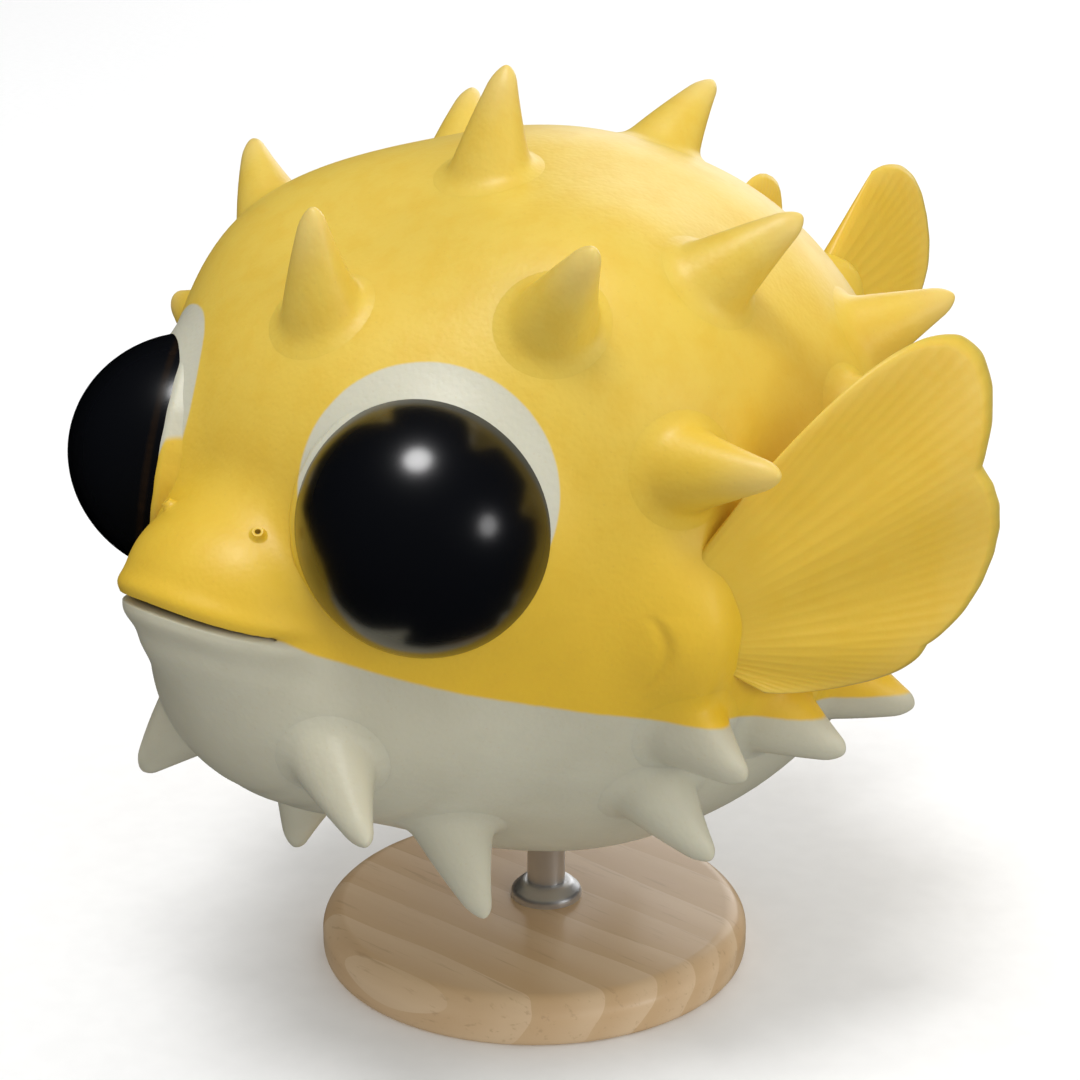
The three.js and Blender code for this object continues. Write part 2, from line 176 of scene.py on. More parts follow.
FLOOR_RADIUS = 3.4  # metres, as the floor's other sizes
FLOOR_RISE, FLOOR_CURVE = 0.35, (1.8, 3.6)


# ------------------------------------------------------------------------------------------------
# The fish's shape.


def unit(vectors):
    """Vectors of length 1 along the last axis."""
    return vectors / np.linalg.norm(vectors, axis=-1, keepdims=True)


def smoothstep(low, high, value):
    """0 below low, 1 above high, and a soft S between."""
    share = np.clip((value - low) / (high - low), 0, 1)
    return share * share * (3 - 2 * share)


def bell(value, width):
    """1 at 0, falling off like a bell to either side."""
    return np.exp(-((value / width) ** 2))


def full_turn(count):
    """Evenly spaced angles once round, without the last."""
    return np.arange(count) / count * 2 * np.pi


def way_from_ahead(ahead, turn):
    """The way at an angle from straight ahead, turned about it from straight up."""
    return np.stack((np.sin(ahead) * np.sin(turn), -np.cos(ahead), np.sin(ahead) * np.cos(turn)), axis=-1)


def way_from_eye(angle, turn):
    """The way from the left eye's middle, at an angle from where it faces and turned about that."""
    first = unit(np.cross(EYE_FACING, [0, 0, 1.0]))
    second = np.cross(first, EYE_FACING)
    return (
        np.cos(angle)[..., None] * EYE_FACING
        + (np.sin(angle) * np.cos(turn))[..., None] * first
        + (np.sin(angle) * np.sin(turn))[..., None] * second
    )


def ellipsoid_distance(points, centre, radii, pitch):
    """About the distance to an ellipsoid: k(k - 1)/g, where k is the length of the offset divided by
    the radii, and g that of the offset divided by their squares."""
    offset = points - np.array(centre)
    cos, sin = math.cos(math.radians(pitch)), math.sin(math.radians(pitch))
    x, y, z = offset[..., 0], offset[..., 1], offset[..., 2]
    offset = np.stack((x, y * cos + z * sin, z * cos - y * sin), axis=-1)
    radii = np.array(radii)
    k = np.linalg.norm(offset / radii, axis=-1)
    g = np.linalg.norm(offset / radii**2, axis=-1)
    return np.where(g < 1e-9, -radii.min(), k * (k - 1) / np.maximum(g, 1e-9))


def body_distance(points):
    """The smooth union of the blobs: the smaller of two distances, less a quarter of the fillet times
    the square of how near they are to each other."""
    total = None
    for centre, radii, fillet, pitch in BLOBS:
        for side in (1, -1) if centre[0] else (1,):
            one = ellipsoid_distance(points, (side * centre[0], centre[1], centre[2]), radii, pitch)
            if total is None:
                total = one
                continue
            near = np.clip(1 - np.abs(total - one) / fillet, 0, None)
            total = np.minimum(total, one) - near * near * fillet / 4
    return total


def surface_along(starts, directions, farthest=FARTHEST_SURFACE):
    """Where rays leave the body: the stretch that holds the surface is halved 26 times."""
    inside = np.zeros(directions.shape[:-1])
    outside = np.full(directions.shape[:-1], float(farthest))
    for _ in range(26):
        half = (inside + outside) / 2
        within = body_distance(starts + half[..., None] * directions) < 0
        inside = np.where(within, half, inside)
        outside = np.where(within, outside, half)
    return starts + inside[..., None] * directions


def surface_normals(points):
    """The slope of the distance, from its change over a small step along each axis."""
    slope = [
        body_distance(points + step) - body_distance(points - step) for step in np.eye(3) * 1e-3
    ]
    return unit(np.stack(slope, axis=-1))


def mouth_line(x):
    """Height of the line where the lips meet, which droops with the square of x."""
    return MOUTH_HEIGHT - MOUTH_DROOP * x**2


def folds(across, width, places):
    """Soft creases side by side: a bell for each place on the across coordinate, all pointing in."""
    return sum(bell(across - place, width) for place in places)


def skin_relief(points, normals, opening):
    """Adds to the body the lips, the gap between them, the gill slits and soft folds. Returns the
    points and how far each lies in a hollow, from 0 to 1, which the skin's colour takes for painted
    shade.

    Lips: a low roll above and below the line of the mouth, the upper one fuller. Gap: points between
    the lips go back along +Y. Gill slit: a narrow bell-shaped groove along a crescent, with a low
    ridge behind it. Folds: creases across the throat, round the tail stalk and behind the lips, and
    a slow swell from a few crossed sine waves."""
    x, y, z = points[..., 0], points[..., 1], points[..., 2]
    above = z - mouth_line(x)
    off = np.abs(above)
    reach = np.clip(1 - (x / MOUTH_HALF_WIDTH) ** 2, 0, 1)
    half_open = opening * np.sqrt(reach)
    in_front = smoothstep(-0.9, -1.0, y)
    hollow = smoothstep(0.007, 0.0, off - half_open) * smoothstep(0, 0.1, reach) * in_front
    fade = np.clip(1.15 - (x / (MOUTH_HALF_WIDTH + 0.05)) ** 2, 0, 1) ** 0.7
    upper = bell(above - half_open - 0.03, 0.028) * fade * in_front
    lower = bell(above + half_open + 0.028, 0.026) * fade * in_front
    crease = bell(above + half_open + 0.09, 0.03) * fade * in_front
    corner = bell(np.abs(x) - MOUTH_HALF_WIDTH - 0.004, 0.016) * bell(off, 0.016) * in_front

    side = np.abs(x)
    along = (z + 0.13) / 0.11
    across = y + 0.5 + 0.02 * along**2
    slit_reach = np.clip(1 - along**2, 0, 1) * smoothstep(0.6, 0.7, side)
    slit = bell(across, 0.008) * slit_reach**0.5
    flap = bell(across - 0.024, 0.024) * slit_reach**0.5

    under = smoothstep(-0.25, -0.42, z) * smoothstep(0.55, 0.3, side) * smoothstep(-0.55, -0.75, y)
    bowed = y + 0.25 * side**2 + 0.01 * np.sin(9 * x)
    throat = folds(bowed, 0.016, (-1.06, -0.98, -0.89, -0.79)) * under
    on_stalk = smoothstep(0.98, 1.06, y)
    stalk = folds(y + 0.3 * z + 0.008 * np.sin(12 * z), 0.012, (1.15, 1.2, 1.25, 1.3)) * on_stalk
    swell = (
        np.sin(5.1 * x + 2.3 * y) * np.sin(4.3 * z - 1.7 * y + 0.6)
        + 0.6 * np.sin(9.7 * y - 3.1 * z + 1.1) * np.sin(8.3 * x + 2.9 * z)
    )

    out = 0.016 * upper + 0.007 * lower - 0.006 * crease - 0.012 * corner - 0.01 * slit + 0.005 * flap
    out = out - 0.004 * throat - 0.003 * stalk + 0.0035 * swell * smoothstep(0.3, 0.6, y + 1.3)
    moved = points + out[..., None] * normals
    moved[..., 1] += 0.05 * hollow
    return moved, np.clip(hollow + 0.3 * slit + 0.4 * corner, 0, 1)


# ------------------------------------------------------------------------------------------------
# Meshes.


def grid_faces(rows, columns, close_rows=False, close_columns=False):
    """The quads of a grid of points that is kept row by row."""
    index = np.arange(rows * columns).reshape(rows, columns)
    if close_rows:
        index = np.vstack((index, index[:1]))
    if close_columns:
        index = np.hstack((index, index[:, :1]))
    return np.stack(
        (index[:-1, :-1], index[:-1, 1:], index[1:, 1:], index[1:, :-1]), axis=-1
    ).reshape(-1, 4)


def welded(points, faces):
    """Joins points that lie together, and returns the points kept, the faces, and who was kept."""
    cells = np.round(points / WELD_DISTANCE).astype(np.int64)
    _, first, same = np.unique(cells, axis=0, return_index=True, return_inverse=True)
    return points[first], same.reshape(-1)[faces], first


def enclosed_volume(points, faces):
    """Sum over the triangles of a sixth of each corner's triple product."""
    triangles = np.vstack((faces[:, [0, 1, 2]], faces[:, [0, 2, 3]]))
    a, b, c = (points[triangles[:, i]] for i in range(3))
    return float(np.einsum("ij,ij->i", a, np.cross(b, c)).sum() / 6)


def put_mesh(name, parts, material, attributes=None):
    """One object from parts, each (points in metres, quads). A quad with two corners in one place
    becomes a triangle. Attributes are arrays of one number to a point."""
    points = np.vstack([part[0].reshape(-1, 3) for part in parts])
    sizes = np.cumsum([0] + [part[0].reshape(-1, 3).shape[0] for part in parts])
    oriented = []
    for (places, quads), start in zip(parts, sizes):
        if enclosed_volume(places.reshape(-1, 3), quads) < 0:
            quads = quads[:, ::-1]
        oriented.append(quads + start)
    points, faces, kept = welded(points, np.vstack(oriented))
    repeated = faces == np.roll(faces, -1, axis=1)
    whole = faces[~repeated.any(axis=1)]
    thin = faces[repeated.sum(axis=1) == 1]
    keep = ~repeated[repeated.sum(axis=1) == 1]
    triangles = thin[keep].reshape(-1, 3)
    loops = np.concatenate((whole.reshape(-1), triangles.reshape(-1))).astype(np.int32)
    totals = np.concatenate((np.full(len(whole), 4), np.full(len(triangles), 3))).astype(np.int32)
    starts = np.concatenate(([0], np.cumsum(totals)[:-1])).astype(np.int32)
    mesh = bpy.data.meshes.new(name)
    mesh.vertices.add(len(points))
    mesh.vertices.foreach_set("co", points.astype(np.float32).reshape(-1))
    mesh.loops.add(len(loops))
    mesh.loops.foreach_set("vertex_index", loops)
    mesh.polygons.add(len(totals))
    mesh.polygons.foreach_set("loop_start", starts)
    mesh.polygons.foreach_set("loop_total", totals)
    mesh.update(calc_edges=True)
    mesh.validate()
    mesh.polygons.foreach_set("use_smooth", np.full(len(mesh.polygons), True))
    for key, values in (attributes or {}).items():
        layer = mesh.attributes.new(key, "FLOAT", "POINT")
        layer.data.foreach_set("value", np.asarray(values, np.float32).reshape(-1)[kept])
    mesh.materials.append(material)
    made = bpy.data.objects.new(name, mesh)
    bpy.context.scene.collection.objects.link(made)
    return made


def metres(points):
    return points * BALL + MIDDLE


def mirrored(points):
    return points * np.array([-1, 1, 1])


def spaced(count, peaks, low=0.0, high=1.0):
    """Rising values from low to high, closer together about each peak (place, width, density): the
    inverse of the running sum of 1 plus a bell for each peak."""
    at = np.linspace(low, high, 4001)
    density = 1 + sum(tall * bell(at - place, width) for place, width, tall in peaks)
    run = np.concatenate(([0], np.cumsum((density[1:] + density[:-1]) / 2)))
    return np.interp(np.linspace(0, run[-1], count), run, at)


def skin_surface(rings, around, opening):
    """The whole skin but its spines. Rays fan out from a line inside the fish: the first points
    ahead, the last behind, and they are closest together at the mouth and the gill slits."""
    share = spaced(rings, ((0.02, 0.05, 2.2), (0.34, 0.035, 1.6)))
    sides = tuple((turn, 0.2, 2.6) for turn in (np.pi * 0.53, np.pi * 1.47))
    turn = spaced(around + 1, sides, 0, 2 * np.pi)[:-1]
    from_ahead, round_ = np.meshgrid(share * np.pi, turn, indexing="ij")
    directions = way_from_ahead(from_ahead, round_)
    starts = RAY_FRONT + share[:, None, None] * (RAY_BACK - RAY_FRONT)
    points = surface_along(np.broadcast_to(starts, directions.shape), directions)
    points, hollow = skin_relief(points, surface_normals(points), opening)
    for row in (0, -1):
        points[row] = points[row].mean(axis=0)
    return points, hollow, grid_faces(rings, around, close_columns=True)


def fin_axes(fin):
    """The middle ray's way, the way across the rays, and the way the fin faces."""
    along = unit(np.array(fin["along"], float))
    across = np.array(fin["across"], float)
    across = unit(across - along.dot(across) * along)
    return along, across, np.cross(across, along)


def fin_places(fin, q, t, thickness=0.0):
    """Points of a fin: from the foot line out along each ray, whose slope runs evenly from the first
    spread angle to the last, with soft lobes, a cupped face and folds that run in from the notches."""
    along, across, facing = fin_axes(fin)
    angle = np.radians(fin["spread"][0] + q * (fin["spread"][1] - fin["spread"][0]))
    crest = np.abs(np.sin(np.pi * fin["lobes"] * q ** fin["widening"]))
    lobe = 1 - fin["lobe_depth"] * (1 - crest)
    reach = t * (fin["length"](q) * lobe + FIN_BURIED) - FIN_BURIED
    fold = fin["lobe_depth"] * 0.4 * (crest**2 - 0.5) * np.clip(t, 0, 1) ** 1.5
    return (
        np.array(fin["foot"])
        + ((q - 0.5) * fin["foot_width"] + reach * np.sin(angle))[..., None] * across
        + (reach * np.cos(angle))[..., None] * along
        + (fin["cup"] * reach**2 + fold + thickness)[..., None] * facing
    )


def spine_places():
    """Where spines stand and how tall each is: on rows along the fish, but not in the way of eyes,
    fins and rod."""
    listed = np.array(
        [(ahead, turn, tall) for turn, tall, left, _ in SPINE_ROWS for ahead in left]
        + [(ahead, -turn, tall) for turn, tall, _, right in SPINE_ROWS for ahead in right],
        float,
    )
    ahead, turn = np.radians(listed[:, :2]).T
    directions = way_from_ahead(ahead, turn)
    feet = surface_along(np.zeros_like(directions), directions)
    side = np.abs(feet) * np.array([1, 0, 0]) + feet * np.array([0, 1, 1])
    tips = side + listed[:, 2:] * surface_normals(side)
    q, t = (values.reshape(-1) for values in np.meshgrid([0, 0.25, 0.5, 0.75, 1], [0.05, 0.3, 0.55]))
    near_fins = np.vstack([fin_places(fin, q, t) for fin in FINS.values()])
    to_fin = np.minimum(
        np.linalg.norm(near_fins[None] - side[:, None], axis=-1).min(axis=1),
        np.linalg.norm(near_fins[None] - tips[:, None], axis=-1).min(axis=1),
    )
    clear = (
        (np.linalg.norm(side - EYE_CENTRE, axis=-1) > CLEAR_OF_EYE)
        & (np.linalg.norm(side - ROD_PLACE, axis=-1) > CLEAR_OF_ROD)
        & (to_fin > CLEAR_OF_FIN)
    )
    return feet[clear], listed[clear, 2]


def spine_surface(foot, height, radius, rings=40, around=40):
    """One spine with the skin drawn up round its foot. Its radius falls evenly to a quarter, then
    rounds off over the tip as a quarter ellipse, and a brim that dies away with height spreads the
    foot. Its own height is added to the skin's along a way that leans back, with a hook that grows
    with the square of the height. The first rings lie under the skin."""
    share = np.concatenate(
        (np.linspace(0, 1, rings - 10) ** 1.6 * 0.92 - 0.03, 1 - 0.11 * np.linspace(0.9, 0, 10) ** 2)
    )
    up = np.clip(share, 0, 1)
    cap = np.clip((share - SPINE_TIP_START) / (1 - SPINE_TIP_START), 0, 1)
    cone = radius * (1 - SPINE_TAPER * up) * np.sqrt(1 - cap**2)
    brim = SPINE_BRIM * radius * np.exp(-np.clip(share, -0.03, 1) / SPINE_BRIM_HEIGHT)
    spread = cone + brim * (1 - up)
    spread[-1] = 0
    turn = full_turn(around)
    outward = surface_normals(foot)
    backward = unit(np.array([0.0, 1.0, 0.0]) - outward[1] * outward)
    across = np.cross(outward, backward)
    lean = unit(outward + 0.4 * backward)
    rise = lean / lean.dot(outward)
    ring = np.cos(turn)[:, None] * across + np.sin(turn)[:, None] * backward
    flat = foot + spread[:, None, None] * ring[None]
    below = np.broadcast_to(foot - 0.35 * outward, flat.shape)
    on_skin = surface_along(below, unit(flat - below), 1.0)
    on_skin, _ = skin_relief(on_skin, surface_normals(on_skin), 0.0)
    hook = 0.12 * height * up**2
    points = on_skin + (0.93 * share * height)[:, None, None] * rise + hook[:, None, None] * backward
    closing = np.broadcast_to(foot - 0.06 * outward, points[:1].shape)
    points = np.vstack((closing, points))
    tip = np.repeat(np.concatenate(([0], up))[:, None], around, axis=1)
    return points, tip, grid_faces(rings + 1, around, close_columns=True)


# ------------------------------------------------------------------------------------------------
# Materials.


def maths(operation, swapped=False):
    """A method that adds a Math node. Swapped is for an operator's reflected form."""

    def method(self, *others):
        values = (*others, self) if swapped else (self, *others)
        return self.paint.node("ShaderNodeMath", {"operation": operation}, dict(enumerate(values)))

    return method


class Level:
    """One value in a material's nodes. Python's operators on it add Math nodes."""

    def __init__(self, paint, socket):
        self.paint, self.socket = paint, socket

    __add__ = __radd__ = maths("ADD")
    __mul__ = __rmul__ = maths("MULTIPLY")
    __sub__, __rsub__ = maths("SUBTRACT"), maths("SUBTRACT", swapped=True)
    __pow__, __rpow__ = maths("POWER"), maths("POWER", swapped=True)
    __abs__, exp, arccosine = maths("ABSOLUTE"), maths("EXPONENT"), maths("ARCCOSINE")

    def step(self, low, high, bottom=0.0, top=1.0):
        """A soft S from bottom to top between low and high."""
        return self.paint.node(
            "ShaderNodeMapRange",
            {"interpolation_type": "SMOOTHSTEP"},
            {"Value": self, "From Min": low, "From Max": high, "To Min": bottom, "To Max": top},
        )


class Paint:
    """A material that is built up from nodes."""

    def __init__(self, name, **constants):
        self.material = bpy.data.materials.new(name)
        self.material.use_nodes = True
        self.tree = self.material.node_tree
        self.tree.nodes.clear()
        self.shader = self.tree.nodes.new("ShaderNodeBsdfPrincipled")
        output = self.tree.nodes.new("ShaderNodeOutputMaterial")
        self.tree.links.new(self.shader.outputs["BSDF"], output.inputs["Surface"])
        for key, value in constants.items():
            socket = key.replace("_", " ").title().replace("Ior", "IOR")
            self.shader.inputs[socket].default_value = value

    def node(self, kind, settings=None, values=None, output=0):
        """Adds a node: its settings first, then the values or links of its sockets."""
        made = self.tree.nodes.new(kind)
        for key, value in (settings or {}).items():
            setattr(made, key, value)
        for key, value in (values or {}).items():
            if isinstance(value, Level):
                self.tree.links.new(value.socket, made.inputs[key])
            else:
                made.inputs[key].default_value = value
        return Level(self, made.outputs[output])

    def mix(self, factor, first, second):
        """Colour from first to second."""
        first, second = ((*c, 1) if isinstance(c, tuple) and len(c) == 3 else c for c in (first, second))
        return self.node("ShaderNodeMix", {"data_type": "RGBA"}, {0: factor, 6: first, 7: second}, 2)

    def vector(self, operation, first, *others, output=0, scale=None):
        values = dict(enumerate((first, *others)))
        if scale is not None:
            values["Scale"] = scale
        return self.node("ShaderNodeVectorMath", {"operation": operation}, values, output)

    def place(self, centre=(0, 0, 0), size=1.0):
        """Object coordinates about a centre in metres, divided by a size in metres."""
        here = self.node("ShaderNodeTexCoord", output=3)
        return self.vector("SCALE", self.vector("SUBTRACT", here, tuple(centre)), scale=1 / size)

    def split(self, vector):
        node = self.tree.nodes.new("ShaderNodeSeparateXYZ")
        self.tree.links.new(vector.socket, node.inputs[0])
        return [Level(self, output) for output in node.outputs]

    def about_eye(self, at, centre, even=False):
        """How far a point lies along the way the eye on its side faces, and what is left across
        that way, from a centre on the left side. Even takes the point at a distance of 1."""
        x, y, z = self.split(at)
        side = self.node("ShaderNodeCombineXYZ", None, {0: abs(x), 1: y, 2: z})
        away = self.vector("SUBTRACT", side, tuple(centre))
        away = self.vector("NORMALIZE", away) if even else away
        depth = self.vector("DOT_PRODUCT", away, tuple(EYE_FACING), output=1)
        beside = self.vector("SUBTRACT", away, self.vector("SCALE", tuple(EYE_FACING), scale=depth))
        return away, depth, beside

    def noise(self, at, scale, detail=2.0, roughness=0.5):
        """Soft noise about 0.5."""
        values = {"Vector": at, "Scale": scale, "Detail": detail, "Roughness": roughness}
        return self.node("ShaderNodeTexNoise", {"normalize": True}, values)

    def cells(self, at, scale, feature="F1"):
        return self.node("ShaderNodeTexVoronoi", {"feature": feature}, {"Vector": at, "Scale": scale})

    def attribute(self, name):
        return self.node("ShaderNodeAttribute", {"attribute_name": name}, output=2)

    def bump(self, height, depth, strength=1.0):
        return self.node("ShaderNodeBump", None, {"Height": height, "Strength": strength, "Distance": depth})

    def finish(self, colour, roughness, normal=None, coat=None):
        links = {"Base Color": colour, "Roughness": roughness, "Normal": normal, "Coat Weight": coat}
        for key, value in links.items():
            if isinstance(value, Level):
                self.tree.links.new(value.socket, self.shader.inputs[key])
            elif value is not None:
                self.shader.inputs[key].default_value = value
        return self.material


FLESH = dict(subsurface_scale=0.003, subsurface_radius=(1.0, 0.6, 0.25))  # how far light goes in


def skin_material(looks):
    """Yellow above and cream below, parted by a line that drops away behind the mouth, with a cream
    ring over each eye, faint mottling, fine grain and dark hollows. Light and shade are painted in:
    the yellow is paler on the back as painted light from above and deeper on the lower flanks as
    painted shade, the belly's cream is painted darker than the eye ring's as shade, and the hollows
    are painted dark as shade."""
    paint = Paint("fish_skin", subsurface_weight=0.1, coat_roughness=0.42, **FLESH)
    at = paint.place(MIDDLE, BALL)
    x, y, z = paint.split(at)
    broad = paint.noise(at, 2.2, 3.0)
    small = paint.noise(at, 11.0, 4.0, 0.6)
    fine = paint.noise(at, 60.0, 2.0)

    border = ((y - BORDER_START) * (-1 / BORDER_FADE)).exp() * BORDER_DROP + BORDER_LOW
    lips = (x * x) * -MOUTH_DROOP + MOUTH_HEIGHT
    at_mouth = (y + 1.19).step(0.09, 0.0)
    border = border + (lips - border) * at_mouth
    wander = (small - 0.5) * 0.008
    below = (border - z + wander).step(-0.006, 0.006)

    _, depth, beside = paint.about_eye(at, EYE_CENTRE + np.array([0, 0, PATCH_RISE]))
    from_axis = paint.vector("LENGTH", beside, output=1)
    in_patch = (from_axis + wander * 0.5).step(PATCH_RADIUS, PATCH_RADIUS - PATCH_BLUR)
    eye_ring = in_patch * depth.step(-0.3, -0.2)

    # Painted light and shade: the yellow turns paler and more lemon towards the top of the back, where light
    # from above falls, and deeper and more orange on the lower flanks, which are in shade.
    back = paint.mix((z + (broad - 0.5) * 0.5).step(-0.3, 0.95), looks["side"], looks["back"])
    back = paint.mix((small - 0.5).step(-0.12, 0.2, 0, 0.35), back, looks["mottle"])
    # Painted shade: the belly's cream is a little darker than the eye ring's, and its patches of belly shade
    # darker still, for the underside turned from the light; where the patches lie is random.
    belly = paint.mix(broad.step(0.35, 0.7), looks["belly"], looks["belly_shade"])
    belly = paint.mix(small.step(0.45, 0.75, 0, 0.3), belly, looks["belly_shade"])
    colour = paint.mix(below, back, belly)
    colour = paint.mix(eye_ring, colour, looks["patch"])
    specks = paint.cells(at, 42.0).step(0.16, 0.05)
    colour = paint.mix(specks * 0.12, colour, looks["speck"])
    tip = paint.attribute("tip")
    pale = paint.mix(below, looks["spine_tip"], looks["belly"])
    colour = paint.mix(tip.step(0.45, 1.0, 0, 0.35), colour, pale)
    # Painted shade: the gap between the lips, the gill slits, the mouth's corners and the nostrils' bores
    # are darkened nearly to black, as shade in these hollows.
    colour = paint.mix(paint.attribute("hollow").step(0.25, 0.9), colour, looks["hollow"])

    grain = paint.cells(at, 75.0, "SMOOTH_F1")
    relief = grain * 0.6 + fine * 0.5 + small * 0.7
    normal = paint.bump(relief, 0.0001, 0.5)
    roughness = 0.38 + small * 0.14 + fine * 0.05
    return paint.finish(colour, roughness, normal, coat=0.45)


def fin_material(looks):
    """Yellow web between rays, with paler rims and finer grain than the skin."""
    paint = Paint("fin_skin", subsurface_weight=0.2, coat_roughness=0.25, **FLESH)
    at = paint.place(MIDDLE, BALL)
    small = paint.noise(at, 11.0, 4.0, 0.6)
    fine = paint.noise(at, 60.0, 2.0)
    ray = paint.attribute("ray")
    reach = paint.attribute("reach")
    colour = paint.mix(ray.step(0.1, 0.9, 0, 0.2), looks["web"], looks["ray"])
    colour = paint.mix(reach.step(0.75, 1.0, 0, 0.5), colour, looks["rim"])
    colour = paint.mix(reach.step(0.25, 0.0, 0, 0.8), colour, looks["side"])
    colour = paint.mix((small - 0.5).step(-0.1, 0.25, 0, 0.35), colour, looks["mottle"])
    relief = fine * 0.5 + small * 0.5 + ray * 0.3
    normal = paint.bump(relief, 0.0001, 0.4)
    return paint.finish(colour, 0.36 + small * 0.14, normal, coat=0.12)


def eye_material(looks):
    """A wide black pupil with a thin iris of amber streaks that run outwards, dark again at its rim."""
    paint = Paint("wet_eye", coat_weight=1.0, coat_roughness=0.21, coat_ior=1.6, ior=1.2)
    at = paint.place(MIDDLE, BALL)
    away, faces, beside = paint.about_eye(at, EYE_CENTRE, even=True)
    angle = faces.arccosine()
    streak = paint.noise(paint.vector("NORMALIZE", beside), 26.0, 3.0, 0.7)
    cloud = paint.noise(away, 9.0, 3.0)
    iris = paint.mix(streak.step(0.35, 0.7), looks["iris_dark"], looks["iris"])
    iris = paint.mix(cloud.step(0.35, 0.7, 0, 0.6), iris, looks["iris_dark"])
    colour = paint.mix((angle + (streak - 0.5) * 0.01).step(1.27, 1.31), looks["pupil"], iris)
    colour = paint.mix(angle.step(1.33, 1.36), colour, looks["pupil"])
    return paint.finish(colour, 0.3)


def wood_material(looks):
    """Maple turned across the grain: stretched noise for the fibres, rings far from their middle, and
    a satin lacquer."""
    paint = Paint("base_maple", coat_weight=0.35, coat_roughness=0.2)
    at = paint.place((0.004, 0.09, -0.05), 1.0)
    stretched = paint.vector("MULTIPLY", at, (18.0, 160.0, 160.0))
    grain = paint.noise(stretched, 1.0, 6.0, 0.65)
    pores = paint.noise(paint.vector("MULTIPLY", at, (90.0, 1300.0, 1300.0)), 1.0, 3.0, 0.6)
    _, y, z = paint.split(at)
    wobble = paint.noise(paint.vector("MULTIPLY", at, (6.0, 26.0, 26.0)), 1.0, 3.0)
    rings = paint.node(
        "ShaderNodeMath", {"operation": "FRACT"}, {0: (y * y + z * z) ** 0.5 * 190 + wobble * 3.2}
    )
    colour = paint.mix(rings.step(0.0, 0.9), looks["wood"], looks["wood_ring"])
    colour = paint.mix(grain.step(0.35, 0.75, 0, 0.7), colour, looks["wood_grain"])
    colour = paint.mix(pores.step(0.58, 0.72, 0, 0.5), colour, looks["wood_pore"])
    relief = grain * 0.5 + pores * 0.5
    return paint.finish(colour, 0.36 + grain * 0.16, paint.bump(relief, 0.00006, 0.5))


def steel_material(looks):
    """Steel brushed round the rod: fine lines across its length."""
    paint = Paint("rod_steel", metallic=1.0, anisotropic=0.5)
    at = paint.place((0, 0, 0), 1.0)
    lines = paint.noise(paint.vector("MULTIPLY", at, (300.0, 300.0, 9000.0)), 1.0, 3.0, 0.7)
    smudge = paint.noise(at, 260.0, 2.0)
    colour = paint.mix(lines.step(0.3, 0.75), looks["steel"], looks["steel_shade"])
    return paint.finish(colour, 0.2 + lines * 0.16 + smudge * 0.08, paint.bump(lines, 0.00002, 0.4))


def paper_material(looks):
    """A pale seamless floor with the faintest tooth."""
    paint = Paint("pale_paper")
    at = paint.place((0, 0, 0), 1.0)
    tooth = paint.noise(at, 240.0, 3.0)
    colour = paint.mix(tooth.step(0.3, 0.7), looks["paper"], looks["paper_shade"])
    return paint.finish(colour, 0.75 + tooth * 0.1)


# ------------------------------------------------------------------------------------------------
# What a user can change.


def colour_property(name, description, value):
    return FloatVectorProperty(
        name=name, description=description, default=value, size=3, min=0, max=1, subtype="COLOR"
    )


def power_property(name, description, value):
    return FloatProperty(name=name, description=description, default=value, min=0, unit="POWER")


def length_property(name, description, value, low, high):
    return FloatProperty(
        name=name, description=description, default=value, min=low, max=high,
        unit="LENGTH", subtype="DISTANCE",
    )


class FishColours(bpy.types.PropertyGroup):
    """Colours of the fish."""

    # Back and Side: the paler back is painted light from above, the deeper flanks painted shade.
    back: colour_property("Back", "Yellow on top of the back", (0.78, 0.555, 0.075))
    side: colour_property("Side", "Yellow of the flanks and face", (0.78, 0.49, 0.014))
    mottle: colour_property("Mottle", "Deeper yellow of the faint mottling", (0.73, 0.445, 0.014))
    speck: colour_property("Speck", "Colour of the tiny pores", (0.5, 0.3, 0.06))
    # Belly and Belly shade are painted darker than the Eye ring's cream, as shade on the underside; the
    # patches of Belly shade also vary the tone at random.
    belly: colour_property("Belly", "Cream of the belly and lower jaw", (0.58, 0.555, 0.42))
    belly_shade: colour_property("Belly shade", "Duller cream in patches", (0.52, 0.49, 0.36))
    patch: colour_property("Eye ring", "Cream ring over each eye", (0.61, 0.59, 0.46))
    spine_tip: colour_property("Spine tip", "Paler tips of the spines", (0.82, 0.66, 0.3))
    # Hollow is painted shade: near black in the gap between the lips, the gill slits, the mouth's corners
    # and the nostrils' bores.
    hollow: colour_property("Hollow", "Between the lips and in the gill slits", (0.06, 0.028, 0.016))
    web: colour_property("Web", "Skin between the fin rays", (0.76, 0.5, 0.045))
    ray: colour_property("Ray", "Fin rays", (0.7, 0.45, 0.04))
    rim: colour_property("Rim", "Thin outer rim of the fins", (0.8, 0.57, 0.12))
    pupil: colour_property("Pupil", "Black of the eyes", (0.003, 0.0035, 0.005))
    iris: colour_property("Iris", "Amber of the iris", (0.016, 0.009, 0.005))
    iris_dark: colour_property("Iris streaks", "Dark streaks of the iris", (0.01, 0.006, 0.004))


class FishSizes(bpy.types.PropertyGroup):
    """Sizes of the fish's details."""

    spine_height: length_property(
        "Spine height", "Height of the tallest spines above the skin", SPINE_TALLEST * BALL, 0.001, 0.03
    )
    spine_radius: length_property(
        "Spine radius", "Radius of a spine just above its brim", 0.112 * BALL, 0.001, 0.02
    )
    mouth_opening: length_property(
        "Mouth opening", "Half the height of the mouth's opening", 0.006 * BALL, 0.0, 0.002
    )
    skin_rings: IntProperty(
        name="Skin rings", description="Rings of the skin from mouth to tail", default=310, min=40, max=310
    )
    skin_around: IntProperty(
        name="Skin columns", description="Columns of the skin round the fish", default=320, min=40, max=320
    )


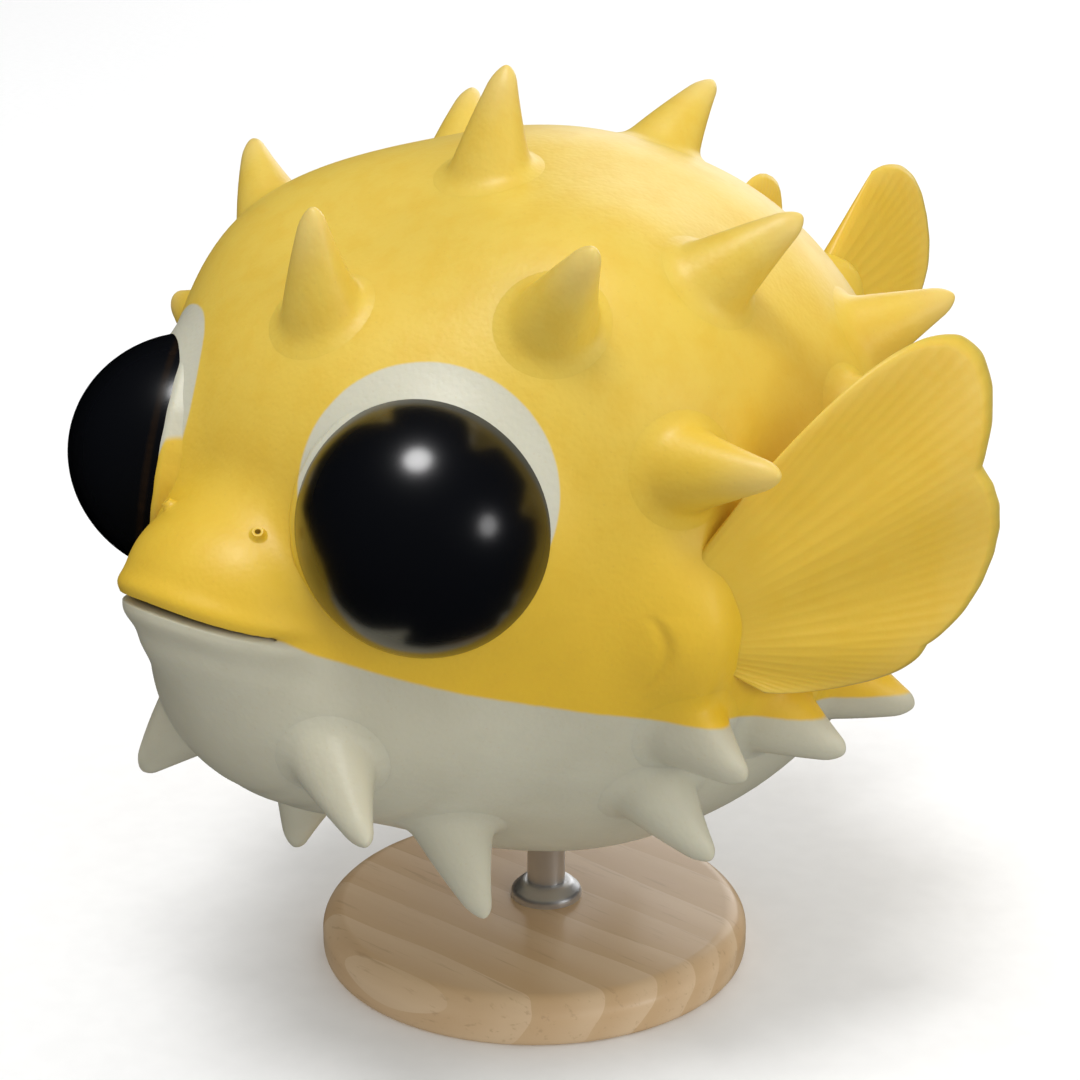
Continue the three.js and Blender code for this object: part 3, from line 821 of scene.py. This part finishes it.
class StandColours(bpy.types.PropertyGroup):
    """Colours of the display stand."""

    wood: colour_property("Wood", "Main colour of the base", (0.66, 0.48, 0.29))
    wood_ring: colour_property("Ring", "Late wood of the rings", (0.57, 0.38, 0.2))
    wood_grain: colour_property("Grain", "Fibres of the wood", (0.6, 0.42, 0.24))
    wood_pore: colour_property("Pore", "Pores of the wood", (0.42, 0.27, 0.14))
    steel: colour_property("Steel", "The rod", (0.68, 0.69, 0.7))
    steel_shade: colour_property("Steel lines", "Brushed lines of the rod", (0.5, 0.51, 0.52))


class StageLooks(bpy.types.PropertyGroup):
    """The floor and the light."""

    paper: colour_property("Floor", "Pale floor", (0.93, 0.93, 0.93))
    paper_shade: colour_property("Floor shade", "Tooth of the floor", (0.91, 0.91, 0.91))
    top_power: power_property("Top light", "Power of the top light", 23.0)
    side_power: power_property("Side light", "Power of the side light", 2.0)
    back_power: power_property("Back light", "Power of the light behind", 15.0)
    front_power: power_property("Front light", "Power of the front light", 9.5)
    low_power: power_property("Low light", "Power of the low light behind the fish's left side", 4.0)
    sky: FloatProperty(
        name="Sky", description="Strength of the even light from all round", default=0.58, min=0
    )
    overhead: FloatProperty(
        name="Overhead", description="Strength of the soft light from straight above", default=0.45, min=0
    )


def colours(group):
    """A group's colours by name, without its single numbers."""
    values = {key: getattr(group, key) for key in type(group).__annotations__}
    return {key: tuple(value) for key, value in values.items() if not isinstance(value, float)}


def shared(name, make, group):
    """A material by name, made the first time it is asked for."""
    return bpy.data.materials.get(name) or make(colours(group))


def both_sides(points):
    """The left side's name and points, and the right side's."""
    return ("left", points), ("right", mirrored(points))


def hand_over(piece, slot, *nodes):
    """Puts a finished piece on the frame."""
    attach(piece, "root")
    if nodes:
        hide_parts(*nodes)
    return {"FINISHED"}


# ------------------------------------------------------------------------------------------------
# Operators, one for each piece or group of like pieces.


class BURRFISH_OT_skin(bpy.types.Operator):
    """One skin from the mouth to the tail stalk, with lips and gill slits"""

    bl_idname = "burrfish.skin"
    bl_label = "Skin"

    def execute(self, context):
        sizes, looks = context.scene.burrfish_sizes, context.scene.burrfish_colours
        opening = sizes.mouth_opening / BALL
        points, hollow, faces = skin_surface(sizes.skin_rings, sizes.skin_around, opening)
        material = shared("fish_skin", skin_material, looks)
        piece = put_mesh("skin", [(metres(points), faces)], material, {"hollow": hollow})
        return hand_over(piece, "skin", "head", "lower_jaw", "back", "belly", "tail_stalk")


class BURRFISH_OT_spines(bpy.types.Operator):
    """All the spines, each with the skin drawn up round its foot"""

    bl_idname = "burrfish.spines"
    bl_label = "Spines"

    def execute(self, context):
        sizes, looks = context.scene.burrfish_sizes, context.scene.burrfish_colours
        scale = sizes.spine_height / BALL / SPINE_TALLEST
        radius = sizes.spine_radius / BALL
        made = [spine_surface(foot, tall * scale, radius) for foot, tall in zip(*spine_places())]
        parts = [(metres(points), faces) for points, _, faces in made]
        tips = np.concatenate([tip.reshape(-1) for _, tip, _ in made])
        material = shared("fish_skin", skin_material, looks)
        return hand_over(put_mesh("spines", parts, material, {"tip": tips}), "skin")


class BURRFISH_OT_lids(bpy.types.Operator):
    """The fleshy ring of skin round each eye.

    On rays from the eye's middle: just inside the ball at the inner rim, a rounded crest, and then
    the skin itself, where the ring ends."""

    bl_idname = "burrfish.lids"
    bl_label = "Lids"

    def execute(self, context):
        around, across = 180, 40
        inner, outer = math.radians(LID_INNER), math.radians(LID_OUTER)
        share, round_ = np.meshgrid(np.linspace(0, 1, across), full_turn(around), indexing="ij")
        angle = inner + (outer - inner) * share
        directions = way_from_eye(angle, round_)
        starts = np.broadcast_to(EYE_CENTRE, directions.shape)
        on_skin = surface_along(starts, directions, 1.2)
        reach = np.minimum(np.linalg.norm(on_skin - starts, axis=-1), 1.14 * EYE_RADIUS)
        degrees = np.degrees(angle)
        crest = EYE_RADIUS * (0.985 + 0.045 * smoothstep(LID_INNER, LID_INNER + 5, degrees))
        merge = smoothstep(84, 100, degrees)
        ripple = 1 + 0.003 * np.sin(round_ * 23) * bell(degrees - 86, 7)
        height = np.maximum(crest * ripple, reach)
        height = crest * ripple * (1 - merge) + height * merge
        height = np.where(degrees > 98, reach + (height - reach) * smoothstep(109, 98, degrees), height)
        height = height - 0.006 * smoothstep(LID_OUTER - 6, LID_OUTER, degrees)
        points = EYE_CENTRE + height[..., None] * directions
        inside = EYE_CENTRE + 0.82 * (points[::-1] - EYE_CENTRE)
        loop = np.concatenate((points, inside))
        faces = grid_faces(2 * across, around, close_rows=True, close_columns=True)
        material = shared("fish_skin", skin_material, context.scene.burrfish_colours)
        for side, places in both_sides(loop):
            hand_over(put_mesh("eyelid_" + side, [(metres(places), faces)], material), "skin")
        return {"FINISHED"}


class BURRFISH_OT_eyes(bpy.types.Operator):
    """Both eyes: a ball whose clear front stands a little proud.

    The radius grows by a bell-shaped swelling about the way the eye faces."""

    bl_idname = "burrfish.eyes"
    bl_label = "Eyes"

    def execute(self, context):
        rings, around = 90, 120
        angle, turn = np.meshgrid(np.linspace(0, np.pi, rings), full_turn(around), indexing="ij")
        radius = EYE_RADIUS * (1 + CORNEA_HEIGHT * bell(angle, CORNEA_WIDTH))
        points = EYE_CENTRE + radius[..., None] * way_from_eye(angle, turn)
        points[0], points[-1] = points[0].mean(axis=0), points[-1].mean(axis=0)
        faces = grid_faces(rings, around, close_columns=True)
        material = shared("wet_eye", eye_material, context.scene.burrfish_colours)
        for side, places in both_sides(points):
            piece = put_mesh("eyeball_" + side, [(metres(places), faces)], material)
            hand_over(piece, "eye", "eye_" + side)
        return {"FINISHED"}


class BURRFISH_OT_nostrils(bpy.types.Operator):
    """A short open tube before each eye.

    A profile carried round the tube's axis: up the outside, over a rolled rim and down the bore."""

    bl_idname = "burrfish.nostrils"
    bl_label = "Nostrils"

    def execute(self, context):
        direction = unit(np.array([0.26, -0.6, 0.26]))
        foot = surface_along(np.array([[0, -0.74, 0.0]]), direction[None])[0]
        outward = surface_normals(foot)
        first = unit(np.cross(outward, [1.0, 0, 0]))
        second = np.cross(outward, first)
        rings, around = 40, 48
        s = np.linspace(0, 1, rings)
        outside = smoothstep(0, 0.5, s)
        radius = 0.022 - 0.008 * outside
        radius = radius - 0.001 * smoothstep(0.5, 0.6, s) - 0.006 * smoothstep(0.56, 0.68, s)
        radius = radius + 0.016 * bell(s, 0.14) - 0.003 * smoothstep(0.7, 1, s)
        height = -0.004 + 0.02 * smoothstep(0.02, 0.56, s) - 0.012 * smoothstep(0.6, 1, s)
        radius[-1] = 0
        turn = full_turn(around)
        ring = np.cos(turn)[:, None] * first + np.sin(turn)[:, None] * second
        points = foot + radius[:, None, None] * ring[None] + height[:, None, None] * outward
        closing = np.broadcast_to(foot - 0.02 * outward, points[:1].shape)
        points = np.concatenate((closing, points))
        # How far into the bore the skin is painted dark as shade.
        in_bore = np.concatenate(([0], 0.6 * smoothstep(0.6, 0.72, s)))
        hollow = np.repeat(in_bore[:, None], around, axis=1)
        faces = grid_faces(rings + 1, around, close_columns=True)
        material = shared("fish_skin", skin_material, context.scene.burrfish_colours)
        for side, places in both_sides(points):
            piece = put_mesh("nostril_" + side, [(metres(places), faces)], material, {"hollow": hollow})
            hand_over(piece, "skin")
        return {"FINISHED"}


class BURRFISH_OT_fins(bpy.types.Operator):
    """The five fins: soft rays that fork towards the rim, with web between them.

    Each fin is one sheet folded over at its rim. Its thickness runs from root to rim, falls to
    nothing at its first and last ray and at the rim, and swells over each ray."""

    bl_idname = "burrfish.fins"
    bl_label = "Fins"

    def execute(self, context):
        material = shared("fin_skin", fin_material, context.scene.burrfish_colours)
        pieces = (
            ("fin_pectoral_left", "pectoral", 1, "pectoral_fin_left"),
            ("fin_pectoral_right", "pectoral", -1, "pectoral_fin_right"),
            ("fin_dorsal", "dorsal", 1, "dorsal_fin"),
            ("fin_anal", "anal", 1, "anal_fin"),
            ("fin_tail", "tail", 1, "tail_fin"),
        )
        for name, kind, side, node in pieces:
            fin = FINS[kind]
            rows = 12 * fin["rays"] + 1
            columns = 81
            even = np.linspace(0, 1, rows)
            q_flat = (1 - np.cos(np.linspace(0, np.pi, rows))) / 2 * 0.35 + even * 0.65
            fold = np.sin(np.linspace(-np.pi / 2, np.pi / 2, columns))
            q, w = np.meshgrid(q_flat, fold, indexing="ij")
            t = 1 - np.abs(w)
            forked = smoothstep(0.55, 0.8, t)
            one = bell(((q * fin["rays"]) % 1) - 0.5, 0.24)
            two = bell(((q * fin["rays"] * 2) % 1) - 0.5, 0.26)
            ray = (one * (1 - forked) + two * forked) * smoothstep(0.15, 0.6, t)
            outward = np.clip(t, 0, 1) ** 0.7
            thickness = FIN_ROOT_THICKNESS + (FIN_EDGE_THICKNESS - FIN_ROOT_THICKNESS) * outward
            corner = np.sqrt(np.clip(1 - (2 * q - 1) ** 8, 0, 1))
            thickness = thickness * (0.95 + 0.06 * ray * (1 - 0.4 * t)) * corner
            rim = np.sqrt(np.clip(1 - t**8, 0, 1))
            half = np.sign(w) * thickness / 2 * rim
            scallop = 1.01 + 0.002 * (one - 0.5) * smoothstep(0.7, 1, t)
            points = fin_places(fin, q, t * scallop, half)
            if side < 0:
                points = mirrored(points)
            faces = grid_faces(rows, columns, close_columns=True)
            piece = put_mesh(name, [(metres(points), faces)], material, {"ray": ray, "reach": t})
            hand_over(piece, "fin", node)
        return {"FINISHED"}


def turned(profile, centre, around=128):
    """A closed profile of (radius, height) in metres, carried round an upright axis."""
    turn = full_turn(around)
    radius, height = np.array(profile, float).T
    points = np.stack(
        (
            centre[0] + radius[:, None] * np.cos(turn),
            centre[1] + radius[:, None] * np.sin(turn),
            np.repeat(height[:, None], around, axis=1),
        ),
        axis=-1,
    )
    return points, grid_faces(len(profile), around, close_columns=True)


def softened(corners, radius, steps=8):
    """A profile with each inner corner rounded: points on a quadratic curve whose ends lie a radius
    before and after the corner."""
    corners = np.array(corners, float)
    out = [corners[0]]
    for before, here, after in zip(corners[:-2], corners[1:-1], corners[2:]):
        back, on = before - here, after - here
        start = here + back / np.linalg.norm(back) * min(radius, np.linalg.norm(back) / 2)
        end = here + on / np.linalg.norm(on) * min(radius, np.linalg.norm(on) / 2)
        share = np.linspace(0, 1, steps)[:, None]
        out.extend((1 - share) ** 2 * start + 2 * share * (1 - share) * here + share**2 * end)
    out.append(corners[-1])
    return np.array(out)


class BURRFISH_OT_stand(bpy.types.Operator):
    """The display stand: a turned wooden base and a steel rod with a collar"""

    bl_idname = "burrfish.stand"
    bl_label = "Stand"

    def execute(self, context):
        looks = context.scene.burrfish_stand
        low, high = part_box("stand_base")
        rod_low, rod_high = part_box("stand_rod")
        radius, top = high.x, high.z
        rod_radius = (rod_high.x - rod_low.x) / 2
        centre = (0, (rod_low.y + rod_high.y) / 2)
        profile = softened(
            [(0, 0), (radius - 0.0006, 0), (radius, 0.0006), (radius, top - 0.0018),
             (radius - 0.0018, top), (rod_radius + 0.004, top), (0, top)], 0.0011,
        )
        points, faces = turned(profile, (0, 0), 192)
        wood = shared("base_maple", wood_material, looks)
        hand_over(put_mesh("turned_base", [(points, faces)], wood), "base_wood", "stand_base")

        steel = shared("rod_steel", steel_material, looks)
        rod = softened(
            [(0, rod_low.z), (rod_radius, rod_low.z), (rod_radius, rod_high.z), (0, rod_high.z)], 0.0004
        )
        collar = softened(
            [(0, top - 0.0005), (rod_radius + 0.0022, top - 0.0005), (rod_radius + 0.0022, top + 0.0009),
             (rod_radius + 0.0008, top + 0.0022), (0, top + 0.0022)], 0.0005,
        )
        parts = [turned(rod, centre, 96), turned(collar, centre, 96)]
        hand_over(put_mesh("steel_rod", parts, steel), "rod_steel", "stand_rod")
        return {"FINISHED"}


class BURRFISH_OT_stage(bpy.types.Operator):
    """A pale floor that curves up towards its edge, soft lights and the camera"""

    bl_idname = "burrfish.stage"
    bl_label = "Stage"

    def execute(self, context):
        looks = context.scene.burrfish_stage
        scene = context.scene
        azimuth, elevation = math.radians(VIEW_AZIMUTH), math.radians(VIEW_ELEVATION)
        ahead = np.array([math.sin(azimuth), -math.cos(azimuth), 0.0])
        toward = ahead * math.cos(elevation) + np.array([0, 0, math.sin(elevation)])
        right = np.array([math.cos(azimuth), math.sin(azimuth), 0.0])
        up = np.cross(toward, right)
        up = up if up[2] > 0 else -up
        reach = FLOOR_RADIUS * np.linspace(0, 1, 60) ** 1.5
        profile = np.stack((reach, FLOOR_RISE * smoothstep(*FLOOR_CURVE, reach)), axis=-1)
        paper = shared("pale_paper", paper_material, looks)
        stage = put_mesh("floor", [turned(profile, (0, 0), 96)], paper)
        if stage.data.polygons[0].normal.z < 0:
            stage.data.flip_normals()
        stage.visible_diffuse = stage.visible_glossy = False

        eye = metres(EYE_CENTRE)

        def lamp(name, toward_lamp, distance, size, power, glint=True):
            data = bpy.data.lights.new(name, "AREA")
            data.shape, data.size, data.energy = "DISK", size, power
            lamp_object = bpy.data.objects.new(name, data)
            place = eye + unit(np.array(toward_lamp, float)) * distance
            aim = Vector(eye - place).to_track_quat("-Z", "Y")
            lamp_object.location, lamp_object.rotation_euler = place, aim.to_euler()
            lamp_object.visible_glossy = glint
            scene.collection.objects.link(lamp_object)

        lamp("top_light", (0.07, -0.24, 0.968), 2.4, 0.85, looks.top_power)
        lamp("side_light", (0.955, 0.2, 0.17), 1.6, 0.44, looks.side_power)
        lamp("back_light", (-0.377, 0.879, 0.32), 2.4, 1.8, looks.back_power)
        lamp("front_light", tuple(0.5 * right + 0.8 * toward), 2.0, 1.4, looks.front_power, False)
        lamp("low_light", (0.64, 0.75, -0.01), 1.6, 0.7, looks.low_power, False)

        overhead = bpy.data.lights.new("overhead_light", "SUN")
        overhead.energy, overhead.angle = looks.overhead, math.radians(80)
        overhead_object = bpy.data.objects.new("overhead_light", overhead)
        overhead_object.visible_glossy = False
        scene.collection.objects.link(overhead_object)

        world = bpy.data.worlds.new("even_light")
        world.use_nodes = True
        background = world.node_tree.nodes["Background"].inputs
        background["Color"].default_value, background["Strength"].default_value = (1, 1, 1, 1), looks.sky
        world.cycles_visibility.glossy = False
        scene.world = world

        camera = bpy.data.cameras.new("camera")
        camera.sensor_width, camera.lens = SENSOR_WIDTH, CAMERA_LENS
        camera.clip_start, camera.clip_end = 0.01, 20
        camera_object = bpy.data.objects.new("camera", camera)
        place = MIDDLE + BALL * (CAMERA_DISTANCE * toward + CAMERA_ASIDE * right + CAMERA_RISE * up)
        back = unit(place - MIDDLE - BALL * (AIM_ASIDE * right + AIM_RISE * up))
        across = unit(np.cross([0.0, 0.0, 1.0], back))
        turn = Matrix((across, np.cross(back, across), back)).transposed()
        camera_object.matrix_world = Matrix.Translation(place) @ turn.to_4x4()
        scene.collection.objects.link(camera_object)
        scene.camera = camera_object
        scene.view_settings.view_transform = "Standard"
        return {"FINISHED"}


BUILD_ORDER = (
    BURRFISH_OT_skin,
    BURRFISH_OT_spines,
    BURRFISH_OT_lids,
    BURRFISH_OT_eyes,
    BURRFISH_OT_nostrils,
    BURRFISH_OT_fins,
    BURRFISH_OT_stand,
    BURRFISH_OT_stage,
)


class BURRFISH_PT_panel(bpy.types.Panel):
    """Lists the pieces and what can be changed"""

    bl_idname = "BURRFISH_PT_panel"
    bl_label = "Burrfish"
    bl_space_type = "VIEW_3D"
    bl_region_type = "UI"
    bl_category = "Burrfish"

    def draw(self, context):
        for operator in BUILD_ORDER:
            self.layout.operator(operator.bl_idname)
        for key in GROUPS:
            group = getattr(context.scene, key)
            box = self.layout.box()
            for name in type(group).__annotations__:
                box.prop(group, name)


GROUPS = {
    "burrfish_sizes": FishSizes,
    "burrfish_colours": FishColours,
    "burrfish_stand": StandColours,
    "burrfish_stage": StageLooks,
}
CLASSES = (*GROUPS.values(), *BUILD_ORDER, BURRFISH_PT_panel)


def register():
    for one in CLASSES:
        bpy.utils.register_class(one)
    for key, group in GROUPS.items():
        setattr(bpy.types.Scene, key, PointerProperty(type=group))


def unregister():
    for key in GROUPS:
        delattr(bpy.types.Scene, key)
    for one in reversed(CLASSES):
        bpy.utils.unregister_class(one)


def main():
    register()
    for operator in BUILD_ORDER:
        category, name = operator.bl_idname.split(".")
        getattr(getattr(bpy.ops, category), name)()


if __name__ == "__main__":
    main()
